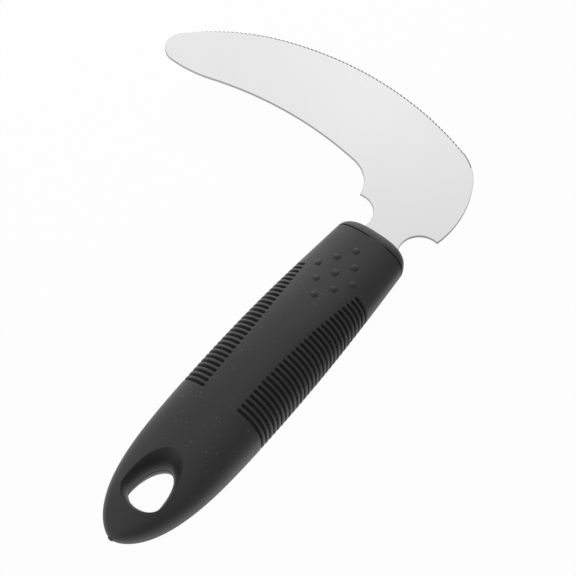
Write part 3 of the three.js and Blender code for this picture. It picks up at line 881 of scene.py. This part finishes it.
def lay_floor():
    """Pale floor: mostly plain white to the eye, and still darkened by the knife's shadow.

    Where it is mirrored it is a little brighter, with a painted pool of light at the blade's neck, and a
    painted shadow darkens it at the knife's right.
    """
    corners = [(FLOOR_HALF * x, FLOOR_HALF * y, 0) for x, y in ((-1, -1), (1, -1), (1, 1), (-1, 1))]
    mesh = bpy.data.meshes.new("floor")
    mesh.from_pydata(corners, [], [(0, 1, 2, 3)])
    floor = add_object("floor", mesh)
    material = bpy.data.materials.new("floor_paper")
    material.use_nodes = True
    tree = material.node_tree
    wire = Wire(tree)
    paper = wire.node("ShaderNodeBsdfDiffuse", {}, {"Color": grey(0.85)})
    place = wire.node("ShaderNodeTexCoord", out="Object")
    along = wire.node("ShaderNodeSeparateXYZ", {}, {"Vector": place}, "X")
    across = wire.node("ShaderNodeSeparateXYZ", {}, {"Vector": place}, "Y")
    # Painted shadow on the mirrored floor at the knife's right
    painted_shadow = range_of(along, *PAINTED_SHADOW_ALONG) * range_of(across, *PAINTED_SHADOW_ACROSS)
    # Painted pool of light on the mirrored floor at the blade's neck
    neck = range_of(along, *NECK_IN_ALONG) * range_of(along, *NECK_OUT_ALONG) * range_of(across, *NECK_ACROSS)
    mirrored = wire.node("ShaderNodeLightPath", out="Is Glossy Ray")
    strength = 1 + mirrored * (FLOOR_SHEEN + NECK_PAINTED_LIGHT * neck - PAINTED_SHADOW_LOSS * painted_shadow)
    white = wire.node("ShaderNodeEmission", {}, {"Color": grey(1.0), "Strength": strength})
    share = FLOOR_WHITE * seen_directly(wire)
    surface = wire.node("ShaderNodeMixShader", {}, {0: share, 1: paper, 2: white})
    tree.links.new(surface.socket, tree.nodes["Material Output"].inputs["Surface"])
    dress(floor, material)


# Strength of the light from all round, and what the studio's walls add to it or take from it where they
# are mirrored: the direction of each, the cosine at which it begins and the amount. They are a bright
# backdrop beyond the knife, the dark room behind the camera and below it, dark cards at the knife's left and
# right, and a bright one high beyond its butt.
FILL = 0.4
WALL_FULL = 0.95
WALLS = (
    ((0.787, 0.617, 0.05), 0.4, 1.2),
    ((-0.41, -0.32, 0.854), 0.25, -0.28),
    ((-0.64, -0.74, 0.2), 0.5, -0.35),
    ((-0.3, 0.9, 0.3), 0.8, -0.45),
    ((0.855, -0.503, 0.1), 0.25, -0.36),
    ((-0.55, 0.32, 0.77), 0.7, 0.5),
)

# Soft lamps: name, place and size in metres, and power in watts
SOFTBOXES = (
    ("key_softbox", (0.25, 0.35, 0.3), 0.25, 0.8),
    ("fill_softbox", (-0.5, 0.31, 0.3), 0.4, 0.5),
)


def facing(right, up, back, place):
    """Matrix of something that looks against its back direction."""
    return Matrix([[*row] for row in np.column_stack([right, up, back, place])] + [[0, 0, 0, 1]])


def light_studio():
    """White surroundings to the eye, a soft fill, the studio's walls and two soft lamps."""
    world = bpy.data.worlds.new("studio")
    bpy.context.scene.world = world
    world.use_nodes = True
    tree = world.node_tree
    wire = Wire(tree)
    way = wire.node("ShaderNodeTexCoord", out="Generated")
    mirrored = wire.node("ShaderNodeLightPath", out="Is Glossy Ray")
    strength = FILL + (1 - FILL) * seen_directly(wire)
    for wall, start, amount in WALLS:
        toward = wire.node("ShaderNodeVectorMath", {"operation": "DOT_PRODUCT"}, {0: way, 1: wall}, "Value")
        strength = strength + range_of(toward, start, WALL_FULL, 0.0, amount) * mirrored
    surface = wire.node("ShaderNodeBackground", {}, {"Color": grey(1.0), "Strength": strength})
    tree.links.new(surface.socket, tree.nodes["World Output"].inputs["Surface"])
    for name, place, size, power in SOFTBOXES:
        lamp = bpy.data.lights.new(name, "AREA")
        lamp.shape = "DISK"
        lamp.size = size
        lamp.energy = power
        softbox = bpy.data.objects.new(name, lamp)
        bpy.context.scene.collection.objects.link(softbox)
        back = np.array(place) / np.linalg.norm(place)
        right = np.cross([0, 0, 1], back)
        right = right / np.linalg.norm(right)
        up = np.cross(back, right)
        softbox.matrix_world = facing(right, up, back, place)
        softbox.visible_glossy = False


# Where the camera stands, in millimetres from the butt, the handle's middle line and the blade sheet, its
# angles in degrees, and its lens and sensor in millimetres.
CAMERA_AT = np.array([-90.755, -133.16, 383.8])
CAMERA_ELEVATION = 58.60
CAMERA_AZIMUTH = 51.88
CAMERA_LENS = 92.9
SENSOR_WIDTH = 36


def set_camera():
    """Camera over the butt, looking down along the handle from its right side."""
    elevation = np.radians(CAMERA_ELEVATION)
    azimuth = np.radians(CAMERA_AZIMUTH)
    right = np.array([np.cos(azimuth), -np.sin(azimuth), 0])
    level = np.array([-np.sin(azimuth), -np.cos(azimuth), 0])
    back = np.cos(elevation) * level + np.array([0, 0, np.sin(elevation)])
    up = np.cross(back, right)
    lens = bpy.data.cameras.new("view")
    lens.sensor_width = SENSOR_WIDTH
    lens.lens = CAMERA_LENS
    camera = bpy.data.objects.new("view", lens)
    bpy.context.scene.collection.objects.link(camera)
    camera.matrix_world = facing(right, up, back, CAMERA_AT / 1000 + ORIGIN)
    bpy.context.scene.camera = camera


dress_pieces()
lay_floor()
light_studio()
set_camera()
bpy.context.scene.view_settings.view_transform = "Standard"
